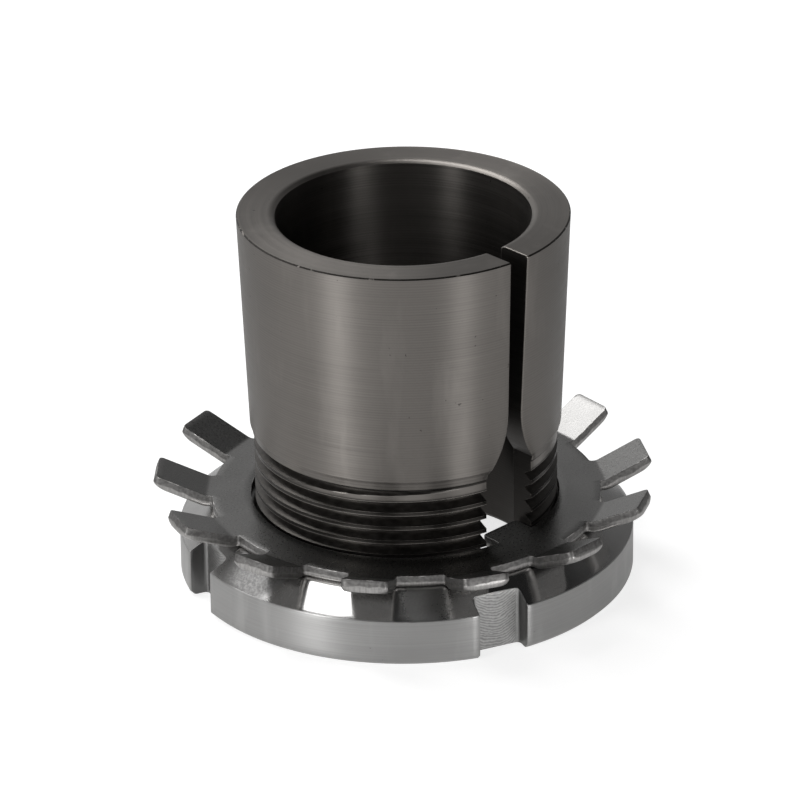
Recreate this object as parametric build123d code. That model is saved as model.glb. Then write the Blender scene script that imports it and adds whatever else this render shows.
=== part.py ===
from build123d import *
import math
import os

# Adapter sleeve with its lock nut and tab washer, for a bearing with a 1:12 taper bore.
# Millimetres. The origin is on the axis, in the plane of the sleeve's thread end.
# +Z runs to the large end of the taper, and the sleeve's slot faces -Y.

# Sleeve, turned sizes
bore_diameter = 25.0
thread_wall = 2.5
sleeve_length = 38.0
thread_length = 15.2
shoulder_height = 0.55
shoulder_step = 0.325
taper_ratio = 12.0
rim_chamfer = 0.2
bore_top_chamfer = 0.65
bore_base_chamfer = 0.5
thread_end_chamfer = 0.9

# Sleeve, slit and slot
slit_top_width = 2.2
slit_neck_width = 1.7
slot_width = 6.0
slot_height = 15.7
flare_height = 6.0

# Thread, 60 degree form, with the sleeve's grooves at z = 0 in the middle of the slot
thread_pitch = 1.5
thread_half_angle = 30.0
crest_land = 0.4
crest_clearance = 0.06
full_thread_height = 14.6
runout_turn = 85.0

# Lock nut
nut_wall = 7.5
nut_height = 6.8
nut_face_width = 4.0
nut_cone_angle = 30.0
nut_base_chamfer = 0.5
nut_mouth_chamfer = 0.25
spanner_slot_width = 5.0
spanner_slot_depth = 2.0
spanner_slot_fillet = 0.4
spanner_slot_count = 4
nut_turn = -18.4

# Tab washer
washer_thickness = 1.25
washer_seat_gap = 0.02
washer_hole_clearance = 0.4
washer_ring_width = 3.85
washer_turn = 2.4
tab_width = 4.6
tab_bore_clearance = 0.15
tab_corner = 0.4
tang_count = 13
tang_width = 4.6
tang_overhang = 5.0
tang_bend_angle = 23.0
tang_bend_radius = 1.0
tang_bend_margin = 0.27
tang_corner = 0.45
tang_edge_roll = 0.4

# Follows from the sizes above
bore_radius = bore_diameter / 2
thread_radius = bore_radius + thread_wall
taper_small_radius = thread_radius + shoulder_step
taper_start = thread_length + shoulder_height
rim_radius = taper_small_radius + (sleeve_length - taper_start) / (2 * taper_ratio)
flank_slope = math.tan(math.radians(thread_half_angle))
sleeve_crest_radius = thread_radius - crest_clearance
root_radius = sleeve_crest_radius - (thread_pitch - crest_land) / (2 * flank_slope)
nut_bore_radius = thread_radius + crest_clearance
nut_mouth_radius = nut_bore_radius + nut_mouth_chamfer
nut_radius = thread_radius + nut_wall
nut_face_radius = thread_radius + nut_face_width
nut_cone_height = (nut_radius - nut_face_radius) * math.tan(math.radians(nut_cone_angle))
washer_base = nut_height + washer_seat_gap
washer_hole_radius = thread_radius + washer_hole_clearance
washer_ring_radius = washer_hole_radius + washer_ring_width
tang_tip_radius = washer_ring_radius + tang_overhang
tab_end = bore_radius + tab_bore_clearance


def groove_width(radius):
    """Width of the sleeve's thread groove at a radius."""
    return thread_pitch - crest_land - 2 * (sleeve_crest_radius - radius) * flank_slope


def on_helix(solid, height):
    """Turns and lifts a coil that starts at +X, so that it lies on the thread's helix."""
    return Location((0, 0, height), (0, 0, 360 * height / thread_pitch - 90)) * solid


def groove_section():
    """The V of the groove, from its root to just outside the sleeve."""
    outer = thread_radius + thread_pitch / 15
    low = (outer, -groove_width(outer) / 2)
    high = (outer, groove_width(outer) / 2)
    return Plane.XZ * Polygon((root_radius, 0), low, high, align=None)


def runout():
    """The end of the sleeve's groove, where the tool leaves the metal in part of a turn."""
    rise = thread_pitch * runout_turn / 360
    cone = math.atan2(thread_radius - root_radius, rise)
    way_out = Helix(
        pitch=thread_pitch / math.cos(cone),
        height=rise,
        radius=root_radius,
        cone_angle=math.degrees(cone),
    )
    return on_helix(sweep(groove_section(), path=way_out, is_frenet=True), full_thread_height)


def cut_thread(body):
    """Cuts the sleeve's groove a turn at a time, from its full-depth end down, and its run-out."""
    path = Helix(pitch=thread_pitch, height=thread_pitch, radius=root_radius)
    turn = sweep(groove_section(), path=path, is_frenet=True)
    height = full_thread_height - thread_pitch
    while height > -2 * thread_pitch:
        body = body - on_helix(turn, height)
        height = height - thread_pitch
    return body - runout()


def slot_outline():
    """Half of the slit and slot, seen from outside: narrow slit, trumpet flare, wide slot."""
    neck = (slit_neck_width / 2, slot_height + flare_height)
    top = (slit_top_width / 2, sleeve_length)
    beyond = (slit_top_width / 2, sleeve_length + thread_wall)
    corner = (slot_width / 2, slot_height)
    foot = (slot_width / 2, -thread_wall)
    down_the_slit = (neck[0] - top[0], neck[1] - top[1])
    with BuildSketch() as outline:
        with BuildLine():
            Polyline((0, beyond[1]), beyond, top, neck)
            TangentArc(neck, corner, tangent=down_the_slit)
            Polyline(corner, foot, (0, foot[1]), (0, beyond[1]))
        make_face()
        mirror(about=Plane.YZ)
    return outline.sketch


def adapter_sleeve():
    """Split sleeve: taper, shoulder, thread and bore, with a slit that opens into a slot."""
    with BuildPart() as turned:
        with BuildSketch(Plane.XZ):
            with BuildLine():
                Polyline(
                    (bore_radius + bore_base_chamfer, 0),
                    (sleeve_crest_radius - thread_end_chamfer, 0),
                    (sleeve_crest_radius, thread_end_chamfer),
                    (sleeve_crest_radius, thread_length),
                    (taper_small_radius, taper_start),
                    (rim_radius, sleeve_length - rim_chamfer),
                    (rim_radius - rim_chamfer, sleeve_length),
                    (bore_radius + bore_top_chamfer, sleeve_length),
                    (bore_radius, sleeve_length - bore_top_chamfer),
                    (bore_radius, bore_base_chamfer),
                    close=True,
                )
            make_face()
        revolve(axis=Axis.Z)
    threaded = cut_thread(Rot(0, 0, -90) * turned.part)
    slot = extrude(Plane.XZ * slot_outline(), amount=rim_radius + thread_wall)
    return threaded - slot


def lock_nut():
    """Round nut: coned face towards the washer and spanner slots in the rim.

    Its bore clears the sleeve's crests, and the ridges of its own thread are not cut here.
    """
    with BuildPart() as turned:
        with BuildSketch(Plane.XZ):
            with BuildLine():
                Polyline(
                    (nut_mouth_radius, 0),
                    (nut_radius - nut_base_chamfer, 0),
                    (nut_radius, nut_base_chamfer),
                    (nut_radius, nut_height - nut_cone_height),
                    (nut_face_radius, nut_height),
                    (nut_mouth_radius, nut_height),
                    (nut_bore_radius, nut_height - nut_mouth_chamfer),
                    (nut_bore_radius, nut_mouth_chamfer),
                    close=True,
                )
            make_face()
        revolve(axis=Axis.Z)
    nut = turned.part
    reach = nut_radius - spanner_slot_depth
    depth = 2 * spanner_slot_depth
    block = Box(depth, spanner_slot_width, 3 * nut_height)
    block = fillet(block.edges().filter_by(Axis.Z).group_by(Axis.X)[0], spanner_slot_fillet)
    for number in range(spanner_slot_count):
        turn = nut_turn - 90 + 360 * number / spanner_slot_count
        nut = nut - Rot(0, 0, turn) * Pos(reach + depth / 2, 0, nut_height / 2) * block
    return nut


def tang():
    """One outer tang along +X: flat root, bend, then a straight blade that leans upwards.

    Stamping rolls the lower edge of its tip, and its corners are cut.
    """
    angle = math.radians(tang_bend_angle)
    bend = washer_ring_radius + tang_bend_margin
    top = washer_thickness + tang_bend_radius
    outer_bend = tang_bend_radius + washer_thickness
    inside = (bend + tang_bend_radius * math.sin(angle), top - tang_bend_radius * math.cos(angle))
    outside = (bend + outer_bend * math.sin(angle), top - outer_bend * math.cos(angle))
    blade = (tang_tip_radius - inside[0]) / math.cos(angle)
    along = (math.cos(angle), math.sin(angle))
    upright = (-math.sin(angle), math.cos(angle))
    inside_tip = (inside[0] + blade * along[0], inside[1] + blade * along[1])
    outside_tip = (outside[0] + blade * along[0], outside[1] + blade * along[1])
    below = (outside_tip[0] - tang_edge_roll * along[0], outside_tip[1] - tang_edge_roll * along[1])
    above = (outside_tip[0] + tang_edge_roll * upright[0], outside_tip[1] + tang_edge_roll * upright[1])
    root = washer_ring_radius - washer_ring_width / 2
    with BuildPart() as bent:
        with BuildSketch(Plane.XZ):
            with BuildLine():
                Line((root, 0), (bend, 0))
                RadiusArc((bend, 0), outside, -outer_bend)
                Polyline(outside, below, above, inside_tip, inside)
                RadiusArc(inside, (bend, washer_thickness), tang_bend_radius)
                Polyline((bend, washer_thickness), (root, washer_thickness), (root, 0))
            make_face()
        extrude(amount=tang_width / 2, both=True)
        tip = bent.faces().sort_by(Axis.X)[-1]
        corners = tip.edges().filter_by(Axis.Y, reverse=True)
        chamfer(corners, tang_corner)
    return bent.part


def tab_washer():
    """Flat ring with bent tangs outside and one flat tab that lies in the sleeve's slot."""
    ring = Cylinder(washer_ring_radius, washer_thickness, align=(Align.CENTER, Align.CENTER, Align.MIN))
    hole = Cylinder(washer_hole_radius, 3 * washer_thickness)
    middle = (tab_end + washer_ring_radius) / 2
    tab_length = middle - tab_end
    tab = Box(tab_length, tab_width, washer_thickness, align=(Align.MIN, Align.CENTER, Align.MIN))
    tab = chamfer(tab.edges().filter_by(Axis.Z).group_by(Axis.X)[0], tab_corner)
    washer = ring - hole + Pos(tab_end, 0, 0) * tab
    blade = tang()
    for number in range(tang_count):
        washer = washer + Rot(0, 0, 360 * number / tang_count) * blade
    return Location((0, 0, washer_base), (0, 0, washer_turn - 90)) * washer


os.makedirs("parts", exist_ok=True)
export_step(adapter_sleeve(), "parts/adapter_sleeve.step")
export_step(lock_nut(), "parts/lock_nut.step")
export_step(tab_washer(), "parts/lock_washer.step")
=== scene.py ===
"""Looks of a bearing adapter sleeve with its lock nut and tab washer.

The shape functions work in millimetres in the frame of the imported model: the origin is on
the axis in the plane of the sleeve's thread end, +Z runs to the large end of the taper and
the slot faces -Y. Azimuths are degrees from -Y towards +X. Settings, materials and the
stage are in metres.
"""

import math

import bmesh
import bpy
import numpy as np
from bpy.props import FloatProperty, FloatVectorProperty, IntProperty, PointerProperty
from mathutils import Matrix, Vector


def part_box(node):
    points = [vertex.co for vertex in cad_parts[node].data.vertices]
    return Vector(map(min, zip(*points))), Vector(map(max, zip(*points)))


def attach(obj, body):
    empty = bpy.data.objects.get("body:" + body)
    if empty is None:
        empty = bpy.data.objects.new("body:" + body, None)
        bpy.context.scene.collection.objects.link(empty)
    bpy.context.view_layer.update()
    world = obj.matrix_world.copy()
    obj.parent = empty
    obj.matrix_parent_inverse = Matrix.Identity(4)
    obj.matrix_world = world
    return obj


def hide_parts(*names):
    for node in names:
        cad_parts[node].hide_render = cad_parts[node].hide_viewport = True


bl_info = {
    "name": "Adapter sleeve",
    "version": (1, 0, 0),
    "blender": (4, 5, 0),
    "location": "3D View > Sidebar > Adapter sleeve",
    "description": "Builds a split taper sleeve with its lock nut and tab washer",
    "category": "Add Mesh",
}

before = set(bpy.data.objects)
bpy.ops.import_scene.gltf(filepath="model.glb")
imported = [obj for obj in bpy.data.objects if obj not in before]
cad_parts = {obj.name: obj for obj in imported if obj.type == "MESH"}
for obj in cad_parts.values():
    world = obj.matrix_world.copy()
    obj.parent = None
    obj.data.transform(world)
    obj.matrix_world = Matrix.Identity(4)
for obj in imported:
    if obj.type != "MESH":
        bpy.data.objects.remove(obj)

METRES = 0.001
MILLIMETRES = 1000.0
WELD = 1.0e-6
SLEEVE_LOW, SLEEVE_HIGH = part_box("adapter_sleeve")
NUT_LOW, NUT_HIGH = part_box("lock_nut")
WASHER_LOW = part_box("lock_washer")[0]


# Sizes and colours that a user can change


def metres(name, description, default):
    """A setting that is a length."""
    return FloatProperty(name=name, description=description, default=default, unit="LENGTH")


def degrees(name, description, default):
    """A setting that is an angle, with its default turned from degrees into radians."""
    default = math.radians(default)
    return FloatProperty(name=name, description=description, default=default, subtype="ANGLE")


def watts(name, description, default):
    """A setting that is a power."""
    return FloatProperty(name=name, description=description, default=default, unit="POWER")


def paint(name, description, default):
    """A setting that is a colour."""
    return FloatVectorProperty(name=name, description=description, default=default, subtype="COLOR")


class SleeveSettings(bpy.types.PropertyGroup):
    """Sizes and finish of the split sleeve."""

    bore_radius: metres("Bore radius", "Radius of the plain bore", 0.0125)
    length: metres("Length", "Length along the axis", SLEEVE_HIGH.z - SLEEVE_LOW.z)
    crest_radius: metres("Crest radius", "Radius over the thread", 0.01494)
    root_radius: metres("Root radius", "Radius at the bottom of the V grooves", 0.013988)
    small_radius: metres("Taper's small radius", "Radius of the taper above the shoulder", 0.015325)
    large_radius: metres("Taper's large radius", "Radius of the taper at its top rim", 0.016252)
    thread_length: metres("Thread length", "Height of the threaded end", 0.0152)
    pitch: metres("Pitch", "Distance between two grooves", 0.0015)
    slit_top: metres("Slit at the top", "Width of the slit at the rim", 0.0022)
    slit_neck: metres("Slit at the neck", "Width of the slit where the flare begins", 0.0017)
    slot_width: metres("Slot width", "Width of the slot in the thread", 0.006)
    steel: paint("Steel", "Colour of the turned steel", (0.166, 0.155, 0.144))
    roughness: FloatProperty(
        name="Roughness", description="Roughness of the turned steel", default=0.4, subtype="FACTOR"
    )


class WasherSettings(bpy.types.PropertyGroup):
    """Sizes and finish of the tab washer."""

    hole_radius: metres("Hole radius", "Radius of the hole", 0.01525)
    ring_radius: metres("Ring radius", "Radius of the flat ring", 0.01925)
    thickness: metres("Thickness", "Thickness of the sheet", 0.00125)
    tang_count: IntProperty(name="Tangs", description="Number of outer tangs", default=13, min=3)
    tang_width: metres("Tang width", "Width of a tang and of the tab", 0.0046)
    tip_radius: metres("Tip radius", "Radius to the upper edge of a tang's tip", 0.02425)
    lean: degrees("Lean", "Angle that the tangs are bent up by", 23.0)
    turn: degrees("Turn", "Azimuth of the tab and of the first tang", 2.4)
    steel: paint("Steel", "Colour of the flat faces", (0.225, 0.222, 0.218))
    edge: paint("Edge", "Colour of the sheared edges", (0.42, 0.41, 0.4))


class NutSettings(bpy.types.PropertyGroup):
    """Sizes and finish of the lock nut."""

    radius: metres("Radius", "Outer radius of the nut", 0.0225)
    height: metres("Height", "Height of the nut", NUT_HIGH.z - NUT_LOW.z)
    face_radius: metres("Face radius", "Radius where the flat face ends and the cone begins", 0.019)
    cone: degrees("Cone", "Slope of the cone", 30.0)
    slot_count: IntProperty(name="Slots", description="Number of spanner slots", default=4, min=2)
    slot_width: metres("Slot width", "Width of a spanner slot", 0.005)
    slot_depth: metres("Slot depth", "Depth of a spanner slot", 0.002)
    turn: degrees("Turn", "Azimuth of the first spanner slot", -18.4)
    steel: paint("Steel", "Colour of the ground rim", (0.33, 0.327, 0.323))
    polish: paint("Polish", "Colour of the polished cone", (0.43, 0.425, 0.42))


class StageSettings(bpy.types.PropertyGroup):
    """Lamps and camera."""

    key_power: watts("Key lamp", "Power of the large lamp", 2.4)
    strip_power: watts("Strip lamps", "Power of the two narrow lamps", 1.0)
    camera_place: FloatVectorProperty(
        name="Camera",
        description="Where the camera stands",
        default=(-0.36710, -0.39505, 0.272765),
        subtype="TRANSLATION",
        unit="LENGTH",
    )


class Millimetres:
    """A copy of a group of settings for the shape functions, with its lengths in millimetres."""

    def __init__(self, settings):
        """Multiplies each length by a thousand and keeps the other settings as they are."""
        for key, kind in settings.bl_rna.properties.items():
            value = getattr(settings, key)
            setattr(self, key, MILLIMETRES * value if kind.unit == "LENGTH" else value)


# Meshes


def add_object(name, data):
    """Puts a new object with that data into the scene."""
    thing = bpy.data.objects.new(name, data)
    bpy.context.scene.collection.objects.link(thing)
    return thing


def grid_object(name, patches, materials, sharp=math.radians(38.0)):
    """Joins grids of points in millimetres into one closed piece in metres.

    Each patch is a grid of points and the number of its material, and where its material
    needs one also a number for each point, which becomes the attribute named level.
    Neighbouring grids have the same points on their shared border, which are merged. Faces
    end up facing outwards.
    """
    points = []
    faces = []
    kinds = []
    levels = []
    start = 0
    for grid, kind, *level in patches:
        rows, columns = grid.shape[:2]
        index = start + np.arange(rows * columns).reshape(rows, columns)
        quads = np.stack((index[:-1, :-1], index[:-1, 1:], index[1:, 1:], index[1:, :-1]), axis=-1)
        points.append(grid.reshape(-1, 3) * METRES)
        faces.append(quads.reshape(-1, 4))
        kinds.append(np.full(quads.shape[0] * quads.shape[1], kind))
        levels.append(np.broadcast_to(level[0] if level else 0.0, (rows, columns)).ravel())
        start += rows * columns
    mesh = bpy.data.meshes.new(name)
    mesh.from_pydata(np.concatenate(points), [], np.concatenate(faces))
    mesh.polygons.foreach_set("material_index", np.concatenate(kinds))
    attribute = mesh.attributes.new("level", "FLOAT", "POINT")
    attribute.data.foreach_set("value", np.concatenate(levels).astype(np.float32))
    for material in materials:
        mesh.materials.append(material)
    shell = bmesh.new()
    shell.from_mesh(mesh)
    bmesh.ops.remove_doubles(shell, verts=shell.verts, dist=WELD)
    bmesh.ops.dissolve_degenerate(shell, edges=shell.edges, dist=WELD)
    bmesh.ops.recalc_face_normals(shell, faces=shell.faces)
    shell.to_mesh(mesh)
    shell.free()
    mesh.polygons.foreach_set("use_smooth", np.ones(len(mesh.polygons), dtype=bool))
    mesh.set_sharp_from_angle(angle=sharp)
    return add_object(name, mesh)


def polar(radius, azimuth, height):
    """Points at a radius, an azimuth in degrees and a height, as an array of x, y, z."""
    angle = np.radians(azimuth)
    radius, angle, height = np.broadcast_arrays(radius, angle, height)
    return np.stack((radius * np.sin(angle), -radius * np.cos(angle), height), axis=-1)


def beside_line(middle, side, out, height):
    """Points a distance out along a line's azimuth and moved sideways from it, at a height."""
    azimuth = middle + np.degrees(np.arctan2(side, out))
    return polar(np.hypot(side, out), azimuth, height)


def quarter_round(radius, steps):
    """Run and drop of a quarter circle that rounds an edge, from the side face to the top face."""
    angle = np.linspace(0.0, math.pi / 2, steps)
    return radius * (1.0 - np.cos(angle)), radius * (1.0 - np.sin(angle))


def both_ends(values, middle, count):
    """The values, then one value repeated, then the values backwards, so many numbers in all."""
    return np.concatenate((values, np.full(count - 2 * len(values), middle), values[::-1]))


def shares(count):
    """Even steps from zero to one, down the rows of a grid."""
    return np.linspace(0.0, 1.0, count)[:, None]


def mirrored(values):
    """Numbers that rise from zero, with their negatives in front of them."""
    return np.concatenate((-values[:0:-1], values))


# Sleeve

SLOT_HEIGHT = 15.7
FLARE_HEIGHT = 6.0
SHOULDER_HEIGHT = 0.55
END_CHAMFER = 0.9
BORE_BASE_CHAMFER = 0.5
BORE_TOP_RUN = 0.65
BORE_TOP_TILT = 42.0
BAND_FOOT = (0.02, 0.06)
BAND_HEIGHT = 0.95
BAND_STEP = 0.16
BAND_EDGE = 0.085
BAND_BREAK = 0.12
RIM_CHAMFER = 0.13
SLIT_ROUND = 0.12
SLIT_TOP_ROUND = 0.6
THREAD_END_ROUND = 0.05
FULL_THREAD = 14.6
RUNOUT_TURN = 85.0
THREAD_ROOT_ROUND = 0.06
FLANK_SLOPE = math.tan(math.radians(30.0))
BURR = 0.014
BURR_WIDTH = 0.035
BURR_SHIFT = 0.012
LAND_START_TURN = 25.0
LAND_EDGE = 0.13
LAND_FADE = 0.1
DRAWN_PITCH = 1.5
THREAD_ROWS = (0.0, 0.07, 0.18, 0.26, 0.34, 0.42, 0.5, 0.55, 0.59, 0.64)
CREST_ROW = 0.75
FLARE_ROWS = (0.0, 0.025, 0.14, 0.2, 0.3, 0.42, 0.55, 0.7, 0.85, 1.0)
SHANK_ROWS = 10
RIM_ROWS = 5
EDGE_COLUMNS = 4
SLEEVE_COLUMNS = 173
WALL_LAYERS = (0.0, 0.04, 0.15, 0.32, 0.5, 0.68, 0.85, 0.96, 1.0)


def slit_half_width(sleeve, height):
    """Half the gap between the slit's two faces at a height.

    The slot's sides are straight, and the slit narrows in a straight line from the rim to
    its neck. Between them runs an arc that leaves the slit's line without a corner and ends
    at the slot's top corner: its centre lies on the normal of that line at the neck.
    """
    top = np.array((sleeve.slit_top / 2.0, sleeve.length))
    neck = np.array((sleeve.slit_neck / 2.0, SLOT_HEIGHT + FLARE_HEIGHT))
    corner = np.array((sleeve.slot_width / 2.0, SLOT_HEIGHT))
    along = (neck - top) / np.linalg.norm(neck - top)
    normal = np.array((-along[1], along[0]))
    chord = corner - neck
    bend = chord @ chord / (2.0 * chord @ normal)
    centre = neck + bend * normal
    arc = centre[0] - np.sqrt(np.maximum(bend**2 - (height - centre[1]) ** 2, 0.0))
    slit = np.interp(height, (neck[1], top[1]), (neck[0], top[0]))
    width = np.where(height < SLOT_HEIGHT, corner[0], arc)
    return np.where(height > neck[1], slit, width)


def thread_rows(pitch, rows, top):
    """Heights of the rows of a thread at its first azimuth, from half a pitch below its end.

    Each groove repeats the same rows, which are distances from the groove's middle and grow
    with the pitch.
    """
    centres = pitch * (np.arange(-1, math.ceil(top / pitch) + 1) + 0.5)
    return (centres[:, None] + np.array(rows) * pitch / DRAWN_PITCH).ravel()


def thread_radius(sleeve, height, azimuth):
    """Radius of the threaded end at a height and an azimuth.

    V grooves lie one pitch apart on a right-hand helix. Their flanks rise by the height from
    the groove's centre over the tangent of 30 degrees, from a small round at the root to the
    crest. Past full depth the groove is lifted out evenly with the turn. A low burr, bell
    shaped in section, runs along both edges of the crest, up to an eighth of that lift.
    """
    depth = sleeve.crest_radius - sleeve.root_radius
    turns = height / sleeve.pitch - azimuth / 360.0
    offset = (turns - np.round(turns)) * sleeve.pitch
    past = (height - offset - FULL_THREAD) / sleeve.pitch * 360.0
    lift = np.clip(past / RUNOUT_TURN, 0.0, 1.0) * depth
    groove = sleeve.root_radius + np.hypot(offset, THREAD_ROOT_ROUND) / FLANK_SLOPE + lift
    edge = depth * FLANK_SLOPE + BURR_SHIFT
    burr = BURR * np.exp(-(((np.abs(offset) - edge) / BURR_WIDTH) ** 2))
    return np.minimum(groove, sleeve.crest_radius) + burr * np.clip(1.0 - 8.0 * lift / depth, 0.0, 1.0)


def plain_land(sleeve, height, azimuth):
    """Share of plain land: one above the last full groove and its dark edge, zero elsewhere.

    A point's height over the groove below, less that groove's half width, tells how far it
    is past the groove's edge. The land is plain where the next groove up is in its run-out
    or past it.
    """
    half = (sleeve.crest_radius - sleeve.root_radius) * FLANK_SLOPE
    turns = height / sleeve.pitch - azimuth / 360.0
    above = (turns - np.floor(turns)) * sleeve.pitch
    past = (height - above - FULL_THREAD) / sleeve.pitch * 360.0
    width = half * (1.0 - np.clip(past / RUNOUT_TURN, 0.0, 1.0))
    last = np.clip((past + 360.0) / LAND_START_TURN, 0.0, 1.0)
    return last * np.clip((above - width - LAND_EDGE) / LAND_FADE, 0.0, 1.0)


def outer_radius(sleeve, height, azimuth):
    """Radius of the outside below its rim: thread with its end chamfer, then band and taper.

    Above the thread the radius runs straight from point to point: a small step, the
    chamfered band up to its broken edge, and then the taper's line up to the rim.
    """
    crest = sleeve.crest_radius
    large = sleeve.large_radius
    top = sleeve.length
    start = sleeve.thread_length
    band = start + BAND_HEIGHT
    edge = np.interp(band, (start + SHOULDER_HEIGHT, top), (sleeve.small_radius, large))
    foot = start + np.array(BAND_FOOT)
    heights = (start, *foot, band - BAND_BREAK, band, top - RIM_CHAMFER, top)
    radii = (crest, crest, crest + BAND_STEP, edge - BAND_EDGE, edge, large, large)
    threaded = np.minimum(thread_radius(sleeve, height, azimuth), crest - END_CHAMFER + height)
    return np.where(height > start, np.interp(height, heights, radii), threaded)


def sleeve_rows(sleeve):
    """Heights of the rows outside and inside, before the thread's rows follow the helix.

    The last rows run round the rim's broken edge outside, and round the bore's mouth inside,
    which is an arc that begins tilted. How far those rows step back is given too.
    """
    top = sleeve.length
    start = sleeve.thread_length
    rows = np.append(mirrored(np.array(THREAD_ROWS)), CREST_ROW)
    helix = thread_rows(sleeve.pitch, rows, start)
    helix = helix[(helix >= -sleeve.pitch / 2) & (helix <= start + sleeve.pitch / 2)]
    inside = np.interp(np.arange(len(helix)), (0, 3, len(helix) - 1), (0.0, BORE_BASE_CHAMFER, start))
    band = start + np.array((*BAND_FOOT, 0.25, BAND_HEIGHT - BAND_BREAK, BAND_HEIGHT, BAND_HEIGHT + 0.08))
    flare = SLOT_HEIGHT + FLARE_HEIGHT * np.array(FLARE_ROWS)
    shank = np.linspace(SLOT_HEIGHT + FLARE_HEIGHT, top - 1.0, SHANK_ROWS)[1:]
    plain = np.sort(np.concatenate((band, flare, shank)))
    rim_run = np.linspace(0.0, RIM_CHAMFER, RIM_ROWS)
    tilt = np.radians(np.linspace(BORE_TOP_TILT, 90.0, RIM_ROWS))
    bore_run = BORE_TOP_RUN * (1.0 - np.cos(tilt) / np.cos(tilt[0]))
    bore_drop = BORE_TOP_RUN * (1.0 - np.sin(tilt)) / np.cos(tilt[0])
    outer = np.concatenate((plain, top - rim_run[::-1]))
    inner = np.concatenate((plain, top - bore_drop))
    return helix, inside, outer, inner, rim_run, bore_run


def sleeve_lattice(sleeve):
    """A block of points bent round the axis: rows upwards, columns round, layers outwards.

    Rows in the thread follow its helix and are held between the sleeve's end and the
    shoulder. Columns run round from one face of the slit to the other. The first and the
    last few follow quarter circles that round the slit's edges, outside and in the bore,
    and drop a little at the slit's top corners. Layers are shares of the wall. The share
    of plain land in the thread's rows is given too.
    """
    top = sleeve.length
    helix, inside, outer, inner, rim_run, bore_run = sleeve_rows(sleeve)
    around = np.linspace(0.0, 1.0, SLEEVE_COLUMNS)
    around = np.concatenate((np.zeros(EDGE_COLUMNS - 1), around, np.ones(EDGE_COLUMNS - 1)))
    columns = len(around)
    start = math.degrees(math.asin(sleeve.slot_width / 2.0 / sleeve.crest_radius))
    rest = start + around * (360.0 - 2.0 * start)
    threads = np.clip(helix[:, None] + sleeve.pitch * (rest - 180.0) / 360.0, 0.0, sleeve.thread_length)
    height_out = np.concatenate((threads, np.repeat(outer[:, None], columns, axis=1)))
    height_in = np.repeat(np.concatenate((inside, inner))[:, None], columns, axis=1)
    radius_out = outer_radius(sleeve, height_out, rest)
    radius_in = sleeve.bore_radius + np.maximum(BORE_BASE_CHAMFER - height_in, 0.0)
    radius_out[-RIM_ROWS:] = sleeve.large_radius - rim_run[:, None]
    radius_in[-RIM_ROWS:] = sleeve.bore_radius + bore_run[:, None]
    layers = np.array(WALL_LAYERS)
    wall = (radius_out - radius_in)[..., None]
    radius = radius_in[..., None] + wall * layers
    height = height_in[..., None] + (height_out - height_in)[..., None] * layers
    rounding = np.where(height > sleeve.thread_length, SLIT_ROUND, THREAD_END_ROUND)
    run, drop = quarter_round(1.0, EDGE_COLUMNS)
    beside = both_ends(run, 1.0, columns)[None, :, None]
    below = both_ends(drop, 0.0, columns)[None, :, None]
    radius = radius + below * rounding * (1.0 - 2.0 * layers) * np.minimum(wall, 1.0)
    near_top = np.clip(height - top + 1.0, 0.0, 1.0)
    height = height - SLIT_TOP_ROUND * below * rounding * near_top
    half = slit_half_width(sleeve, height) + beside * rounding
    first = np.degrees(np.arcsin(half / radius))
    azimuth = first + around[None, :, None] * (360.0 - 2.0 * first)
    return polar(radius, azimuth, height), plain_land(sleeve, threads, rest)


# Nut

NUT_EDGE_ROUND = 0.09
NUT_SLOT_FILLET = 0.4
NUT_CORNER_ROUND = 0.12
NUT_MOUTH_RADIUS = 15.31
NUT_CREST_RADIUS = 14.19
NUT_ROOT_RADIUS = 15.06
NUT_FLANK_GAP = 0.03
NUT_THREAD_ROWS = (-0.6, -0.55, -0.3, -0.11, -0.06, 0.06, 0.11, 0.3, 0.55, 0.6)
NUT_LOW_LEVELS = (0.0, 0.06, 0.3, 0.46, 0.56, 1.4)
NUT_LOW_RIM = (0.56, 0.44, 0.2, 0.04, 0.0, 0.0)
NUT_LOW_WALL = (0.05, 0.0, 0.0, 0.0, 0.0, 0.0)
NUT_HIGH_LEVELS = (2.0, 1.0)
NUT_RIM_COLUMNS = 45
NUT_BLOCK_ROWS = 5


def nut_slot_floor(nut, inset):
    """The slot's floor in plan, from the end of one fillet to the other: side and outwards."""
    half = nut.slot_width / 2.0
    floor = nut.radius - nut.slot_depth
    flat = np.linspace(0.0, half - NUT_SLOT_FILLET, 4)
    angle = np.linspace(0.0, math.pi / 2, 5)[1:]
    bend = NUT_SLOT_FILLET + inset
    side = np.concatenate((flat, half - NUT_SLOT_FILLET + bend * np.sin(angle)))
    out = np.concatenate((np.full(len(flat), floor - inset), floor + NUT_SLOT_FILLET - bend * np.cos(angle)))
    return mirrored(side), np.concatenate((out[:0:-1], out))


def nut_cone_height(nut, radius):
    """Height of the upper side: flat to the face's radius, then falling by the cone's slope."""
    return nut.height - np.maximum(radius - nut.face_radius, 0.0) * math.tan(nut.cone)


def nut_side_rows():
    """Rows up the nut's sides: level, whether it hangs from the upper side, wall's and rim's inset."""
    run, drop = quarter_round(NUT_EDGE_ROUND, 4)
    rows = [(*row, False) for row in zip(NUT_LOW_LEVELS, NUT_LOW_WALL, NUT_LOW_RIM)]
    rows += [(level, 0.0, 0.0, True) for level in NUT_HIGH_LEVELS]
    return rows + [(level, inset, inset, True) for level, inset in zip(drop, run)]


def nut_block(nut, inner, outer, upper):
    """Grid in plan from one line of points straight to another, on the upper side or below."""
    block = inner + (outer - inner) * shares(NUT_BLOCK_ROWS)[..., None]
    radius = np.hypot(block[..., 0], block[..., 1])
    block[..., 2] = nut_cone_height(nut, radius) if upper else 0.0
    return block


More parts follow.
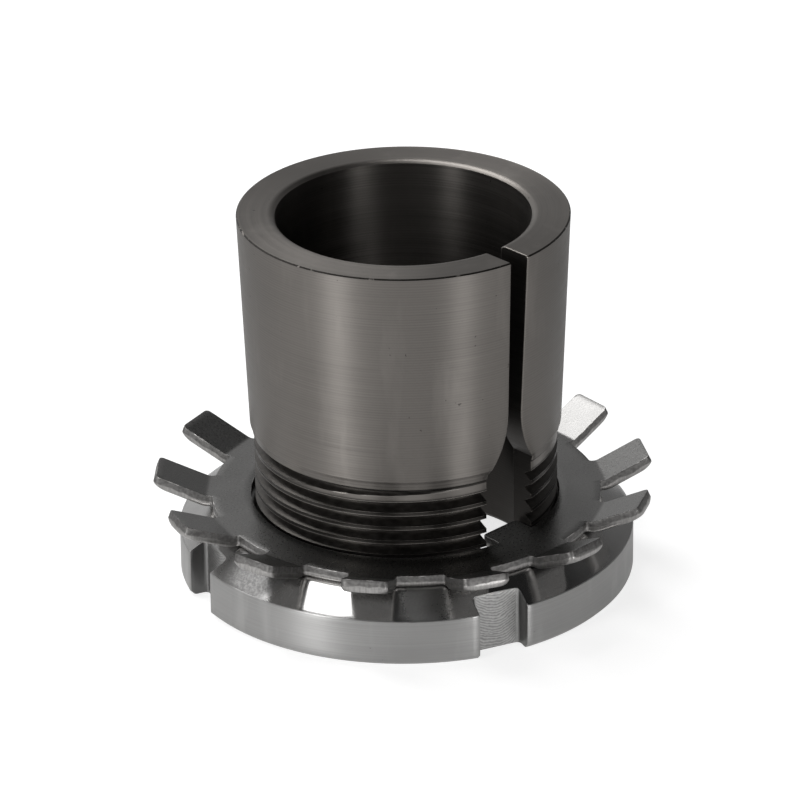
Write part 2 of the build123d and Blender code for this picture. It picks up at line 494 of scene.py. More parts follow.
def nut_bore(sleeve, nut, columns):
    """Grid of the nut's bore: ridges in the sleeve's grooves, with a small gap all round.

    Its rows follow the thread's helix. A ridge's flank is the sleeve's flank moved out by
    the gap, held between the ridge's crest and the groove's bottom. A cone opens the bore at
    both ends.
    """
    rows = thread_rows(sleeve.pitch, NUT_THREAD_ROWS, nut.height)
    height = np.clip(rows[:, None] + sleeve.pitch * (columns / 360.0 - 0.5), 0.0, nut.height)
    turns = height / sleeve.pitch - columns / 360.0
    offset = np.abs(turns - np.round(turns)) * sleeve.pitch
    flank = sleeve.root_radius + (offset + NUT_FLANK_GAP) / FLANK_SLOPE
    mouth = NUT_MOUTH_RADIUS - np.minimum(height, nut.height - height) / FLANK_SLOPE
    radius = np.maximum(np.clip(flank, NUT_CREST_RADIUS, NUT_ROOT_RADIUS), mouth)
    return polar(radius, columns, height)


def nut_patches(sleeve, nut):
    """Grids of the whole nut: thread, faces, cone, slot floors, slot walls and rim.

    In plan, columns cross the upper side from the mouth to the face's edge, then to the line
    of the slot floors, and between the slots on to the rim. The same plan, at the base's
    height, makes the underside. Walls join the two, set in where an edge is rounded.
    """
    half = nut.slot_width / 2.0
    face = nut.face_radius
    floor = nut.radius - nut.slot_depth
    span = 360.0 / nut.slot_count
    between = np.concatenate((np.zeros(2), np.linspace(0.0, 1.0, NUT_RIM_COLUMNS), np.ones(2)))
    share = shares(4)
    run, drop = quarter_round(NUT_CORNER_ROUND, 3)
    side_run = both_ends(run, NUT_CORNER_ROUND, len(between))
    side_drop = both_ends(drop, 0.0, len(between))
    patches = []
    columns = []
    for number in range(nut.slot_count):
        middle = math.degrees(nut.turn) + span * number
        slot = []
        tooth = []
        for level, wall, rim, hangs in nut_side_rows():
            side, out = nut_slot_floor(nut, wall)
            height = nut_cone_height(nut, np.hypot(side, out)) - level if hangs else level
            slot.append(beside_line(middle, side, out, height))
            start = half + wall
            inner = math.hypot(start, floor + NUT_SLOT_FILLET)
            radius = inner + (nut.radius - rim - inner) * share - side_drop * share
            first = np.degrees(np.arcsin((start + side_run) / radius))
            azimuth = middle + first + between * (span - 2.0 * first)
            height = nut_cone_height(nut, radius) - level if hangs else level
            tooth.append(polar(radius, azimuth, height))
        slot = np.stack(slot)
        tooth = np.stack(tooth)
        patches += [(slot, 2), (tooth[-1], 1), (tooth[0], 3)]
        patches += [(tooth[:, -1], 0), (tooth[:, :, 0], 2), (tooth[:, :, -1], 2)]
        slot_in = middle + np.degrees(np.arcsin(nut_slot_floor(nut, 0.0)[0] / face))
        first = np.degrees(np.arcsin((half + side_run) / face))
        tooth_in = middle + first + between * (span - 2.0 * first)
        for row, upper, kind in ((-1, True, 1), (0, False, 3)):
            patches.append((nut_block(nut, polar(face, slot_in, 0.0), slot[row], upper), kind))
            patches.append((nut_block(nut, polar(face, tooth_in, 0.0), tooth[row, 0], upper), kind))
        columns += [slot_in[:-1], tooth_in]
    columns = np.concatenate(columns)
    columns = np.append(columns, columns[0] + 360.0)
    radius = np.linspace(NUT_MOUTH_RADIUS, face, NUT_BLOCK_ROWS)[:, None]
    patches.append((polar(radius, columns, nut.height), 3))
    patches.append((polar(radius, columns, 0.0), 3))
    patches.append((nut_bore(sleeve, nut, columns), 4))
    return patches


# Washer

TANG_BEND_RADIUS = 1.0
TANG_BEND_MARGIN = 0.27
TANG_CORNER = 0.5
TANG_ROOT_FILLET = 0.25
TIP_ROLL = 0.9
TAB_CORNER = 0.4
TAB_BORE_GAP = 0.15
ROLL_RUN = 0.3
ROLL_HEIGHT = 0.5
EDGE_ROUND = 0.04
HOLE_SHIFT = (-0.088, 0.082, 0.0)
TANG_REACH = (0.05, -0.05, -0.1, 0.0, 0.1, 0.0, 0.0, 0.5, 0.4, 0.25, 0.1, 0.15, 0.15)
TANG_LEAN = (2.2, 2.2, 3.0, 4.0, 1.0, 0.0, -0.5, -1.5, -0.5, 0.0, 0.5, 1.2, 0.0)
TANG_SIDE = (0.0, 0.0, 0.0, 0.1, 0.0, 0.0, 0.0, 0.0, -0.05, 0.1, 0.1, 0.17, 0.2)
TANG_COLUMNS = (0.0, 0.25, 0.5, 0.7, 0.785, 0.86, 0.93, 0.97, 0.993, 1.0)
TANG_BEND_SHARE = 0.26
RING_ROWS = 6
FILLET_COLUMNS = 6
FILLET_SHARE = 0.05
GAP_COLUMNS = 22


def washer_levels(washer):
    """Heights through the sheet and how far the outline is set in at each of them.

    Stamping rolls the lower edge into a quarter of an ellipse and leaves the upper one sharp.
    """
    run, drop = quarter_round(1.0, 7)
    edge_run, edge_drop = quarter_round(EDGE_ROUND, 3)
    levels = np.concatenate((ROLL_HEIGHT * drop[::-1], (0.62, 0.9), washer.thickness - edge_drop))
    inset = np.concatenate((ROLL_RUN * run[::-1], (0.0, 0.0), edge_run))
    return levels, inset


def bend_tang(washer, lean, start, reach, level):
    """Carries a point of the flat sheet along the bend, for its reach from the bend's start.

    Below zero the sheet is flat. From zero to one it follows an arc about a centre above the
    sheet, through the lean angle. Past one it runs on straight, at that angle.
    """
    angle = np.clip(reach, 0.0, 1.0) * lean
    straight = np.maximum(reach - 1.0, 0.0)
    arm = TANG_BEND_RADIUS + washer.thickness - level
    out = start + np.minimum(reach, 0.0) + arm * np.sin(angle) + straight * math.cos(lean)
    up = washer.thickness + TANG_BEND_RADIUS - arm * np.cos(angle) + straight * math.sin(lean)
    return out, up


def corner_drop(side, half, corner):
    """How far a rounded corner falls back from the end, at a place across the width."""
    into = np.maximum(corner - (half - np.abs(side)), 0.0)
    return corner - np.sqrt(np.maximum(corner**2 - into**2, 0.0))


def tang_layer(washer, number, middle, level, inset):
    """One level of a tang, from its root on the ring to its tip.

    Each tang leans, reaches and turns sideways a little differently, as bent sheet does. The
    rolled lower edge rounds the tip's corners more.
    """
    half = washer.tang_width / 2.0 - inset
    lean = washer.lean + math.radians(TANG_LEAN[number % len(TANG_LEAN)])
    tip_radius = washer.tip_radius + TANG_REACH[number % len(TANG_REACH)]
    start = washer.ring_radius + TANG_BEND_MARGIN
    blade = (tip_radius - start - TANG_BEND_RADIUS * math.sin(lean)) / math.cos(lean)
    bend_rows = np.linspace(0.04, TANG_BEND_SHARE, 7)
    rows = np.concatenate(((0.0,), bend_rows, np.linspace(TANG_BEND_SHARE, 1.0, 8)[1:]))[:, None]
    side = mirrored(np.array(TANG_COLUMNS)) * half
    root = np.sqrt(washer.ring_radius**2 - side**2) + TANG_ROOT_FILLET - start
    corner = TANG_CORNER + TIP_ROLL * max(1.0 - level / ROLL_HEIGHT, 0.0)
    tip = 1.0 + blade - inset - corner_drop(side, half, corner)
    out, up = bend_tang(washer, lean, start, root + (tip - root) * rows, level)
    skew = TANG_SIDE[number % len(TANG_SIDE)] * rows**2
    return beside_line(middle, side + skew, out, MILLIMETRES * WASHER_LOW.z + up)


def gap_edge(washer, gap, inset):
    """Outer edge from one tang to the next, as azimuths from the first tang and as radii.

    Quarter circles fillet the tangs' sides into the ring, whose arc lies between them.
    """
    ring = washer.ring_radius
    span = 360.0 / washer.tang_count
    turn = np.linspace(0.0, math.pi / 2, FILLET_COLUMNS)
    fillet = TANG_ROOT_FILLET + inset
    side = washer.tang_width / 2.0 + TANG_ROOT_FILLET - fillet * np.cos(turn)
    out = np.sqrt(ring**2 - side**2) + TANG_ROOT_FILLET - fillet * np.sin(turn)
    near = np.degrees(np.arctan2(side, out))
    far = np.interp(
        gap[FILLET_COLUMNS:-FILLET_COLUMNS],
        (FILLET_SHARE, 1.0 - FILLET_SHARE),
        (near[-1], span - near[-1]),
    )
    azimuth = np.concatenate((near, far, span - near[::-1]))
    return azimuth, both_ends(np.hypot(side, out), ring - inset, len(gap))


def ring_layers(washer, tab_end, middle, level, inset):
    """One level of the ring behind a tang, of the ring up to the next tang, and of the tab.

    The hole lies a little off the axis, to the side on which the sheet touches the thread.
    That shift fades out from the hole to the outer edge, and along the tab to its end.
    """
    half = washer.tang_width / 2.0 - inset
    hole = washer.hole_radius + inset
    height = MILLIMETRES * WASHER_LOW.z + level
    span = 360.0 / washer.tang_count
    share = shares(RING_ROWS)
    away = np.array(HOLE_SHIFT) * (1.0 - share)[..., None]
    side = mirrored(np.array(TANG_COLUMNS)) * half
    hole_out = np.sqrt(hole**2 - side**2)
    root = np.sqrt(washer.ring_radius**2 - side**2) + TANG_ROOT_FILLET
    behind = beside_line(middle, side, hole_out + (root - hole_out) * share, height) + away
    near = np.linspace(0.0, FILLET_SHARE, FILLET_COLUMNS)
    far = np.linspace(FILLET_SHARE, 1.0 - FILLET_SHARE, GAP_COLUMNS - 2 * FILLET_COLUMNS + 2)[1:-1]
    gap = np.concatenate((near, far, 1.0 - near[::-1]))
    azimuth_out, radius_out = gap_edge(washer, gap, inset)
    first = math.degrees(math.asin(half / hole))
    azimuth_in = first + gap * (span - 2.0 * first)
    azimuth = middle + azimuth_in + (azimuth_out - azimuth_in) * share
    between = polar(hole + (radius_out - hole) * share, azimuth, height) + away
    for column in (0, -1):
        between[:, column] = between[0, column] + (between[-1, column] - between[0, column]) * share
    end = tab_end + inset + corner_drop(side, half, TAB_CORNER)
    tab = beside_line(middle, side, end + (hole_out - end) * share, height) + away[::-1]
    return behind, between, tab


def washer_patches(sleeve, washer):
    """Grids of the whole washer: ring, tangs with their bends, tab and all edges.

    The tab lies behind the first tang. Every block of levels gives a lower face, an upper
    face and the walls that lie free.
    """
    levels, insets = washer_levels(washer)
    through = (levels / washer.thickness)[:, None]
    tab_end = sleeve.bore_radius + TAB_BORE_GAP
    patches = []
    for number in range(washer.tang_count):
        middle = math.degrees(washer.turn) + 360.0 / washer.tang_count * number
        layers = []
        for level, inset in zip(levels, insets):
            tang = tang_layer(washer, number, middle, level, inset)
            layers.append((tang, *ring_layers(washer, tab_end, middle, level, inset)))
        tang, behind, between, tab = (np.stack(block) for block in zip(*layers))
        blocks = [tang, behind, between]
        walls = [tang[:, -1], tang[:, :, 0], tang[:, :, -1], between[:, -1], between[:, 0]]
        if number == 0:
            blocks.append(tab)
            walls += [tab[:, 0], tab[:, :, 0], tab[:, :, -1]]
        else:
            walls.append(behind[:, 0])
        patches += [(block[0], 0, 0.0) for block in blocks]
        patches += [(block[-1], 0, 1.0) for block in blocks]
        patches += [(wall, 1, through) for wall in walls]
    return patches


# Materials

FINE_RELIEF = 1.2e-6
COARSE_RELIEF = 4.0e-6
POLISHED_RELIEF = 0.5e-6
RING_STRETCH = 0.006
CUTTER_DIAMETER = 0.0054
CUTTER_FEED = 0.0003
DULL_SPOTS = (((-0.0203, -0.0002, 0.006), 0.0046, 1.0), ((-0.0125, -0.0163, 0.006), 0.0036, 0.5))


def shade(colour, factor):
    """A colour made lighter or darker, with alpha."""
    return tuple(min(1.0, channel * factor) for channel in colour) + (1.0,)


class Nodes:
    """Short calls for the nodes and links of one material or world."""

    def __init__(self, owner, shader="Principled BSDF", place="Object"):
        """Starts from the owner's shader and from one of the texture coordinates."""
        owner.use_nodes = True
        self.owner = owner
        self.tree = owner.node_tree
        self.shader = self.tree.nodes[shader]
        self.place = self.add("ShaderNodeTexCoord").outputs[place]

    def put(self, value, socket):
        """Links an output to a socket, or sets the socket where the value is a plain one."""
        if isinstance(value, bpy.types.NodeSocket):
            self.tree.links.new(value, socket)
        else:
            socket.default_value = value

    def fill(self, values):
        """Puts values into the shader's sockets of those names."""
        for name, value in values.items():
            self.put(value, self.shader.inputs[name])

    def add(self, kind, *inputs, **values):
        """Adds a node, sets its properties or the sockets named, and fills its first sockets."""
        node = self.tree.nodes.new(kind)
        for key, value in values.items():
            if hasattr(node, key):
                setattr(node, key, value)
            else:
                self.put(value, node.inputs[key])
        for socket, value in zip(node.inputs, inputs):
            self.put(value, socket)
        return node

    def math(self, operation, *values):
        """One step of arithmetic on outputs or numbers."""
        return self.add("ShaderNodeMath", *values, operation=operation).outputs[0]

    def plus(self, first, second):
        """The sum of two outputs or numbers."""
        return self.math("ADD", first, second)

    def times(self, first, second):
        """The product of two outputs or numbers."""
        return self.math("MULTIPLY", first, second)

    def measure(self, operation, *places):
        """A number worked out from places, such as a length or a distance."""
        return self.add("ShaderNodeVectorMath", *places, operation=operation).outputs["Value"]

    def axes(self):
        """The place's x, y and z."""
        return self.add("ShaderNodeSeparateXYZ", self.place).outputs

    def between(self, value, low, high, start=0.0, end=1.0, curve="LINEAR"):
        """Carries a value between low and high to between start and end."""
        node = self.add("ShaderNodeMapRange", value, low, high, start, end, interpolation_type=curve)
        return node.outputs[0]


class SteelNodes(Nodes):
    """Calls for a material of steel, whose colours are shades of one colour."""

    def __init__(self, name, colour):
        """Starts a new material."""
        super().__init__(bpy.data.materials.new(name))
        self.colour = colour

    def combine(self, x, y, z):
        """A place made of three outputs or numbers."""
        return self.add("ShaderNodeCombineXYZ", x, y, z).outputs[0]

    def cylinder(self):
        """The place's x, y and z, and its distance from the Z axis."""
        x, y, z = self.axes()
        return x, y, z, self.measure("LENGTH", self.combine(x, y, 0.0))

    def noise(self, scale, detail, stretch=(1.0, 1.0, 1.0), place=None):
        """Noise whose grain is 1 / scale metres, stretched by a factor along each axis."""
        mapping = self.add("ShaderNodeMapping", place or self.place, Scale=stretch)
        texture = self.add("ShaderNodeTexNoise", mapping.outputs[0], Scale=scale, Detail=detail)
        return texture.outputs["Fac"]

    def mix(self, share, first, second):
        """Mixes two colours by a share, where a number means that shade of the steel's colour."""
        node = self.add("ShaderNodeMix", share, data_type="RGBA")
        for value, socket in zip((first, second), node.inputs[6:8]):
            self.put(shade(self.colour, value) if isinstance(value, float) else value, socket)
        return node.outputs[2]

    def turn_highlights(self, anisotropy):
        """Draws highlights out across the turned rings."""
        tangent = self.add("ShaderNodeTangent", direction_type="RADIAL", axis="Z").outputs[0]
        self.fill({"Anisotropic": anisotropy, "Anisotropic Rotation": 0.25, "Tangent": tangent})

    def finish(self, base, roughness, height, relief):
        """Makes it metal with a colour, a roughness and a height bumped by a relief in metres."""
        normal = self.add("ShaderNodeBump", Height=height, Distance=relief).outputs[0]
        self.fill({"Base Color": base, "Metallic": 1.0, "Roughness": roughness, "Normal": normal})
        return self.owner


def turned_steel(name, colour, roughness, feed=0.00027, lines=0.14, anisotropy=0.6, faced=False):
    """Turned steel: fine rings along the height, or round the axis on a faced end.

    The tool's feed leaves a regular wave, and stretched noise lies over it. Slow noise mixes
    two shades of the colour, faster noise lays pale smears over them, and a few small dark
    spots are strewn about.
    """
    nodes = SteelNodes(name, colour)
    x, y, z, radius = nodes.cylinder()
    along = radius if faced else z
    rings = nodes.combine(nodes.times(x, RING_STRETCH), nodes.times(y, RING_STRETCH), along)
    grooves = nodes.noise(7000.0, 2.0, place=rings)
    wave = nodes.math("SINE", nodes.times(along, 2.0 * math.pi / feed))
    patches = nodes.noise(95.0, 4.0)
    grain = nodes.noise(2600.0, 2.0)
    base = nodes.mix(nodes.between(patches, 0.35, 0.68), 0.9, 1.08)
    smears = nodes.between(nodes.noise(420.0, 3.0, stretch=(1.0, 1.0, 0.22)), 0.56, 0.74, 0.0, 0.5)
    base = nodes.mix(smears, base, 1.5)
    pale = nodes.between(nodes.plus(grooves, nodes.times(wave, lines)), 0.2, 0.8, 0.0, 0.55)
    base = nodes.mix(pale, base, 1.5)
    spots = nodes.between(nodes.noise(2000.0, 1.0), 0.785, 0.8, 0.0, 0.75)
    base = nodes.mix(spots, base, 0.3)
    rough = nodes.plus(nodes.between(grooves, 0.3, 0.7, -0.04, 0.05), roughness)
    rough = nodes.plus(rough, nodes.between(patches, 0.3, 0.7, -0.03, 0.03))
    nodes.turn_highlights(anisotropy)
    height = nodes.plus(grooves, nodes.times(grain, 0.25))
    return nodes.finish(base, rough, nodes.plus(height, nodes.times(wave, 2.0 * lines)), FINE_RELIEF)


def worn_steel_in_painted_shade(name, colour, roughness):
    """Narrow broken edge: painted dark as shade, with a few pale nicks of wear."""
    nodes = SteelNodes(name, colour)
    grain = nodes.noise(2600.0, 2.0)
    knocks = nodes.between(nodes.noise(900.0, 3.0), 0.6, 0.68)
    # Painted shade: the edge's colour is a dark shade of the steel.
    base = nodes.mix(grain, 0.2, 0.5)
    base = nodes.mix(knocks, base, 2.6)
    return nodes.finish(base, roughness, nodes.plus(grain, knocks), COARSE_RELIEF)


def threaded_steel(name, sleeve, roughness):
    """Cut thread: dark flanks and crests, bright burrs along them, and plain land at the top.

    A point's distance from the axis tells flank, crest and burr apart. The burrs' pale colour is
    painted highlight. The attribute named level tells the share of plain land, which is as pale as
    the taper, while the narrow crests are painted darker as shade. Painted shade darkens the land
    in the corner under the shoulder.
    """
    crest = sleeve.crest_radius
    top = sleeve.thread_length
    nodes = SteelNodes(name, sleeve.steel)
    level = nodes.add("ShaderNodeAttribute", attribute_name="level").outputs["Fac"]
    height, radius = nodes.cylinder()[2:]
    # Mask of the painted shade in the corner under the shoulder.
    corner = nodes.between(height, top - 0.00017, top - 0.00012)
    land = nodes.between(radius, crest - 0.00004, crest - 0.00001)
    burr = nodes.between(radius, crest + 0.000003, crest + 0.000009)
    grain = nodes.noise(3200.0, 2.0, stretch=(0.4, 0.4, 1.0))
    base = nodes.mix(grain, 0.27, 0.68)
    # Painted shade: narrow crests darker than the plain land, darker still in the corner under the shoulder.
    outside = nodes.mix(level, 0.24, 1.1)
    outside = nodes.mix(corner, outside, 0.15)
    base = nodes.mix(land, base, outside)
    # Painted highlight: the burrs are lightened in colour.
    base = nodes.mix(burr, base, 1.3)
    rough = nodes.between(grain, 0.3, 0.7, roughness - 0.05, roughness + 0.05)
    nodes.turn_highlights(0.3)
    return nodes.finish(base, rough, grain, FINE_RELIEF)


def polished_steel(name, colour, roughness):
    """Polished steel with faint rings, dulled and mottled round a few places.

    Round each place the dullness is full to six tenths of its reach and ends at its reach.
    """
    nodes = SteelNodes(name, colour)
    grooves = nodes.noise(5200.0, 2.0, place=nodes.combine(0.0, 0.0, nodes.cylinder()[3]))
    cloud = nodes.noise(260.0, 4.0)
    specks = nodes.noise(4200.0, 4.0)
    near = 0.0
    for place, reach, strength in DULL_SPOTS:
        away = nodes.measure("DISTANCE", nodes.place, place)
        near = nodes.plus(nodes.between(away, 0.6 * reach, reach, strength, 0.0), near)
    dull = nodes.times(near, nodes.between(specks, 0.4, 0.62, 1.0, 0.78))
    base = nodes.mix(nodes.between(cloud, 0.35, 0.7), 0.92, 1.06)
    base = nodes.mix(dull, base, 0.42)
    rough = nodes.plus(nodes.between(grooves, 0.3, 0.7, -0.02, 0.03), roughness)
    rough = nodes.plus(rough, nodes.between(cloud, 0.4, 0.65, 0.0, 0.07))
    rough = nodes.plus(rough, nodes.times(dull, 0.36))
    return nodes.finish(base, rough, nodes.plus(grooves, nodes.times(dull, 0.6)), POLISHED_RELIEF)


def milled_steel(name, colour, roughness, floor_radius):
    """Milled slot: the cutter's curved marks on the floor, and plain darker walls.

    The marks are a wave of the height less a sag, which is the square of the distance from
    the axis, less the floor's, over the cutter's diameter. So each mark sags in the middle
    of the floor.
    """
    nodes = SteelNodes(name, colour)
    height, radius = nodes.cylinder()[2:]
    square = nodes.math("SUBTRACT", nodes.times(radius, radius), floor_radius**2)
    sag = nodes.times(square, 1.0 / CUTTER_DIAMETER)
    wander = nodes.between(nodes.noise(900.0, 2.0), 0.3, 0.7, -0.00012, 0.00012)
    place = nodes.math("SUBTRACT", nodes.plus(height, wander), sag)
    mark = nodes.math("SINE", nodes.times(place, 2.0 * math.pi / CUTTER_FEED))
    grain = nodes.noise(3600.0, 3.0)
    floor = nodes.between(radius, floor_radius + 0.00018, floor_radius + 0.0003, 1.0, 0.0)
    mark = nodes.times(nodes.plus(mark, nodes.between(grain, 0.2, 0.8, -0.8, 0.8)), floor)
    base = nodes.mix(nodes.between(mark, -1.6, 1.6), 0.7, 1.6)
    base = nodes.mix(floor, 0.5, base)
    rough = nodes.between(grain, 0.3, 0.7, roughness - 0.04, roughness + 0.06)
    return nodes.finish(base, rough, nodes.plus(mark, nodes.times(grain, 0.3)), COARSE_RELIEF)


def stamped_steel(name, colour, roughness):
    """Stamped sheet: dark grainy satin with a few pale specks."""
    nodes = SteelNodes(name, colour)
    patches = nodes.noise(140.0, 4.0)
    grain = nodes.noise(5200.0, 3.0)
    specks = nodes.noise(3600.0, 1.0)
    base = nodes.mix(nodes.between(patches, 0.35, 0.7), 0.85, 1.15)
    base = nodes.mix(nodes.between(grain, 0.3, 0.7), base, 1.1)
    base = nodes.mix(nodes.between(specks, 0.76, 0.8, 0.0, 0.4), base, 2.2)
    rough = nodes.plus(nodes.between(grain, 0.3, 0.7, -0.05, 0.06), roughness)
    height = nodes.plus(grain, nodes.between(specks, 0.62, 0.72, 0.0, 2.0))
    return nodes.finish(base, rough, height, FINE_RELIEF)


def sheared_steel(name, colour, roughness):
    """Sheared edge: a bright band that the punch burnished, and a dark torn one above it.

    The attribute named level tells the share of the thickness. Along the upper rim, bright specks
    are painted highlights on the burr.
    """
    nodes = SteelNodes(name, colour)
    level = nodes.add("ShaderNodeAttribute", attribute_name="level").outputs["Fac"]
    wander = nodes.between(nodes.noise(700.0, 3.0), 0.3, 0.7, -0.1, 0.1)
    torn = nodes.between(nodes.plus(level, wander), 0.42, 0.52)
    grain = nodes.noise(3000.0, 3.0)
    streaks = nodes.noise(5200.0, 2.0, stretch=(1.0, 1.0, 0.08))
    bright = nodes.mix(nodes.between(streaks, 0.35, 0.65), 0.7, 0.95)
    dark = nodes.mix(nodes.between(grain, 0.35, 0.65), 0.3, 0.5)
    base = nodes.mix(torn, bright, dark)
    # Painted highlight: bright specks along the upper rim.
    rim = nodes.times(nodes.between(level, 0.94, 0.98), nodes.between(wander, 0.02, 0.08))
    base = nodes.mix(rim, base, 1.5)
    rough = nodes.plus(nodes.times(torn, 0.16), roughness)
    height = nodes.plus(nodes.times(nodes.times(grain, torn), 1.5), streaks)
    return nodes.finish(base, rough, height, COARSE_RELIEF)


# Pieces


class MESH_OT_adapter_sleeve_body(bpy.types.Operator):
    """Builds the split sleeve in place of the plain one."""

    bl_idname = "mesh.adapter_sleeve_body"
    bl_label = "Sleeve"

    def execute(self, context):
        """Makes the sleeve's surface and its materials."""
        sleeve = context.scene.sleeve_settings
        lattice, land = sleeve_lattice(Millimetres(sleeve))
        steel = sleeve.steel
        materials = (
            turned_steel("turned steel, taper", steel, sleeve.roughness, anisotropy=0.85),
            threaded_steel("threaded steel", sleeve, 0.36),
            turned_steel("faced steel, ends", steel, 0.38, lines=0.03, anisotropy=0.5, faced=True),
            # The bore's steel at half the colour is painted shade inside the hole.
            turned_steel("bored steel", shade(steel, 0.5)[:3], 0.38, anisotropy=0.85),
            # The slit's faces at a dark shade of the steel are painted shade in the narrow gap.
            turned_steel("sawn steel, slit", shade(steel, 0.38)[:3], 0.42, anisotropy=0.0),
            worn_steel_in_painted_shade("worn steel, rim", steel, 0.36),
        )
        patches = [
            (lattice[: len(land), :, -1], 1, land),
            (lattice[len(land) - 1 : 1 - RIM_ROWS, :, -1], 0),
            (lattice[-RIM_ROWS:, :, -1], 5),
            (lattice[: 1 - RIM_ROWS, :, 0], 3),
            (lattice[-RIM_ROWS:, :, 0], 2),
            (lattice[-1], 2),
            (lattice[0], 2),
            (lattice[:, 0], 4),
            (lattice[:, -1], 4),
        ]
        piece = grid_object("split_taper_sleeve", patches, materials)
        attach(piece, "sleeve")
        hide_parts("adapter_sleeve")
        return {"FINISHED"}


class MESH_OT_adapter_sleeve_nut(bpy.types.Operator):
    """Builds the slotted lock nut in place of the plain one."""

    bl_idname = "mesh.adapter_sleeve_nut"
    bl_label = "Lock nut"

    def execute(self, context):
        """Makes the nut's surface and its materials."""
        scene = context.scene
        nut = scene.nut_settings
        materials = (
            turned_steel("ground steel, rim", nut.steel, 0.38, feed=0.00012, lines=0.05, anisotropy=0.85),
            polished_steel("polished steel, cone", nut.polish, 0.13),
            milled_steel("milled steel, slots", nut.steel, 0.32, nut.radius - nut.slot_depth),
            turned_steel("faced steel, nut", nut.steel, 0.34, faced=True, anisotropy=0.0),
            turned_steel("cut steel, nut thread", nut.steel, 0.36, anisotropy=0.2),
        )
        patches = nut_patches(Millimetres(scene.sleeve_settings), Millimetres(nut))
        piece = grid_object("slotted_lock_nut", patches, materials)
        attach(piece, "nut")
        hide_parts("lock_nut")
        return {"FINISHED"}


class MESH_OT_adapter_sleeve_washer(bpy.types.Operator):
    """Builds the tab washer in place of the plain one."""

    bl_idname = "mesh.adapter_sleeve_washer"
    bl_label = "Tab washer"

    def execute(self, context):
        """Makes the washer's surface and its materials."""
        scene = context.scene
        washer = scene.washer_settings
        materials = (
            stamped_steel("stamped steel, faces", washer.steel, 0.3),
            sheared_steel("sheared steel, edges", washer.edge, 0.34),
        )
        patches = washer_patches(Millimetres(scene.sleeve_settings), Millimetres(washer))
        piece = grid_object("tab_washer", patches, materials, math.radians(32.0))
        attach(piece, "washer")
        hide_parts("lock_washer")
        return {"FINISHED"}


# Stage

LAMP_DISTANCE = 0.6
LAMPS = (
    ("key lamp", -137.0, 60.0, 0.36, 0.44, "key_power", 1.0),
    ("left strip lamp", -45.0, 16.0, 0.15, 0.34, "strip_power", 1.15),
    ("right strip lamp", 39.0, 16.0, 0.12, 0.34, "strip_power", 0.8),
)
OBJECT_MIDDLE = (0.0, 0.0, 0.015)
CAMERA_TURN = -42.9
CAMERA_YAW = 0.0559
CAMERA_PITCH = 25.308
CAMERA_ROLL = -0.660
CAMERA_LENS = 272.85
CAMERA_RIGHT = (0.7325, -0.6807, 0.0)
FLOOR_REACH = 4.0
FLOOR_HEIGHT = -0.00002
FLOOR_GLOW = 0.75


def aim(turn, tilt):
    """Turns an upright Z down towards -Y by the tilt, then round the axis, both in degrees."""
    return Matrix.Rotation(math.radians(turn), 4, "Z") @ Matrix.Rotation(math.radians(tilt), 4, "X")


def add_lamps(stage):
    """Soft rectangular lamps that point at the object: one above behind it, one at each side."""
    for name, azimuth, elevation, width, height, setting, share in LAMPS:
        data = bpy.data.lights.new(name, "AREA")
        data.shape = "RECTANGLE"
        data.size = width
        data.size_y = height
        data.energy = share * getattr(stage, setting)
        turned = Matrix.Translation(OBJECT_MIDDLE) @ aim(CAMERA_TURN + azimuth, 90.0 - elevation)
        away = Matrix.Translation((0.0, 0.0, LAMP_DISTANCE))
        add_object(name, data).matrix_world = turned @ away


def add_camera(stage):
    """Camera with a long lens at the photograph's view: turned, tilted down and rolled a little."""
    turned = aim(CAMERA_TURN + CAMERA_YAW, 90.0 - CAMERA_PITCH) @ aim(CAMERA_ROLL, 0.0)
    data = bpy.data.cameras.new("camera")
    data.lens = CAMERA_LENS
    data.sensor_width = 36.0
    data.clip_start = 0.01
    camera = add_object("camera", data)
    camera.matrix_world = Matrix.Translation(stage.camera_place) @ turned
    bpy.context.scene.camera = camera


def floor_material():
    """Matt floor that is white for the camera, with the object's shadow.

    Metal mirrors it paler in front of the object than behind it.
    """
    nodes = Nodes(bpy.data.materials.new("pale floor"))
    path = nodes.add("ShaderNodeLightPath")
    x, y = nodes.axes()[:2]
    pale = nodes.between(nodes.plus(x, y), -0.045, 0.085, 0.52, 0.08)
    seen = nodes.times(path.outputs["Is Camera Ray"], FLOOR_GLOW)
    glow = nodes.plus(seen, nodes.times(path.outputs["Is Glossy Ray"], pale))
    nodes.fill({"Base Color": (0.5, 0.5, 0.5, 1.0), "Roughness": 0.9, "Specular IOR Level": 0.0})
    nodes.fill({"Emission Color": (1.0, 1.0, 1.0, 1.0), "Emission Strength": glow})
    return nodes.owner


def add_floor():
    """A square floor just below the object."""
    signs = ((-1, -1), (1, -1), (1, 1), (-1, 1))
    mesh = bpy.data.meshes.new("floor")
    mesh.from_pydata([(x * FLOOR_REACH, y * FLOOR_REACH, FLOOR_HEIGHT) for x, y in signs], [], [(0, 1, 2, 3)])
    mesh.materials.append(floor_material())
    floor = add_object("floor", mesh)


def set_world():
    """White for the camera. To all else it is pale at the horizon and dark overhead.

    The height of a direction fades it, and so does its turn towards the camera's right.
    """
    world = bpy.data.worlds.new("studio")
    bpy.context.scene.world = world
    nodes = Nodes(world, "Background", "Generated")
    horizon = nodes.between(nodes.axes()[2], 0.3, 0.85, 0.42, 0.05, "SMOOTHSTEP")
    right = nodes.measure("DOT_PRODUCT", nodes.place, CAMERA_RIGHT)
    strength = nodes.times(horizon, nodes.between(right, -0.35, 0.35, 1.6, 0.45))
    seen = nodes.add("ShaderNodeLightPath").outputs["Is Camera Ray"]
    strength = nodes.between(seen, 0.0, 1.0, strength, 1.0)
    nodes.fill({"Color": (1.0, 1.0, 1.0, 1.0), "Strength": strength})


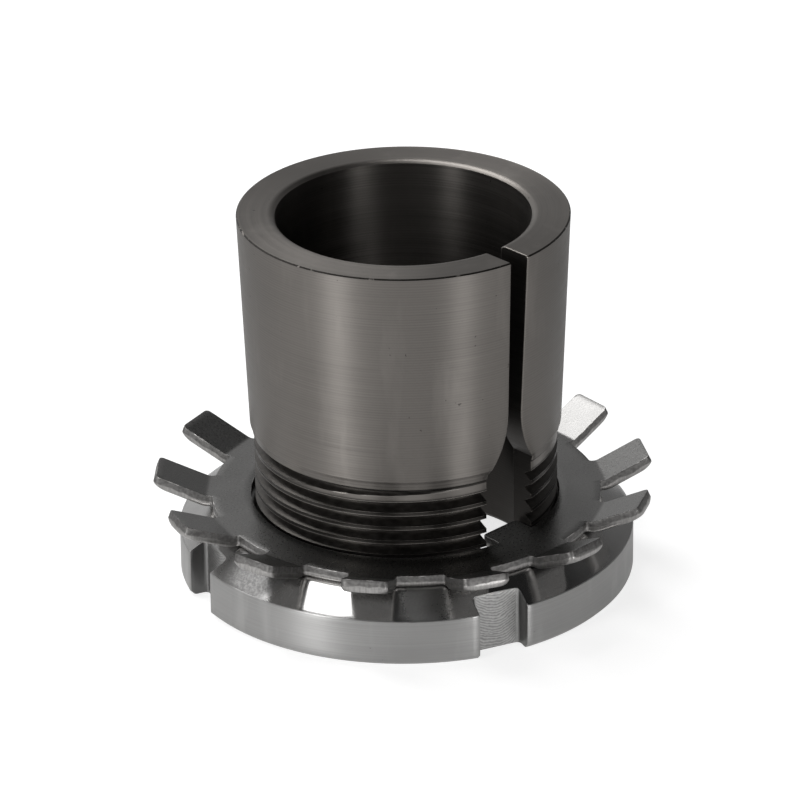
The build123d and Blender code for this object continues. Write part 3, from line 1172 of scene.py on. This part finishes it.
class SCENE_OT_adapter_sleeve_stage(bpy.types.Operator):
    """Builds the floor, the lamps and the camera."""

    bl_idname = "scene.adapter_sleeve_stage"
    bl_label = "Stage"

    def execute(self, context):
        """Makes the stage and sets the scene's camera and view transform."""
        stage = context.scene.stage_settings
        add_floor()
        add_lamps(stage)
        set_world()
        add_camera(stage)
        context.scene.view_settings.view_transform = "Standard"
        return {"FINISHED"}


class VIEW3D_PT_adapter_sleeve(bpy.types.Panel):
    """Lists the pieces and the stage."""

    bl_idname = "VIEW3D_PT_adapter_sleeve"
    bl_label = "Adapter sleeve"
    bl_space_type = "VIEW_3D"
    bl_region_type = "UI"
    bl_category = "Adapter sleeve"

    def draw(self, context):
        """Draws each operator's button above its settings."""
        for operator, name, settings in PARTS:
            column = self.layout.column(align=True)
            column.operator(operator.bl_idname)
            for key in settings.__annotations__:
                column.prop(getattr(context.scene, name), key)


PARTS = (
    (MESH_OT_adapter_sleeve_body, "sleeve_settings", SleeveSettings),
    (MESH_OT_adapter_sleeve_washer, "washer_settings", WasherSettings),
    (MESH_OT_adapter_sleeve_nut, "nut_settings", NutSettings),
    (SCENE_OT_adapter_sleeve_stage, "stage_settings", StageSettings),
)


def register():
    """Registers the settings, the operators and the panel."""
    for operator, name, settings in PARTS:
        bpy.utils.register_class(settings)
        setattr(bpy.types.Scene, name, PointerProperty(type=settings))
        bpy.utils.register_class(operator)
    bpy.utils.register_class(VIEW3D_PT_adapter_sleeve)


def unregister():
    """Takes the panel, the operators and the settings away again."""
    bpy.utils.unregister_class(VIEW3D_PT_adapter_sleeve)
    for operator, name, settings in reversed(PARTS):
        bpy.utils.unregister_class(operator)
        delattr(bpy.types.Scene, name)
        bpy.utils.unregister_class(settings)


def main():
    """Builds every piece and the stage."""
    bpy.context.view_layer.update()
    register()
    bpy.ops.mesh.adapter_sleeve_body()
    bpy.ops.mesh.adapter_sleeve_washer()
    bpy.ops.mesh.adapter_sleeve_nut()
    bpy.ops.scene.adapter_sleeve_stage()


if __name__ == "__main__":
    main()
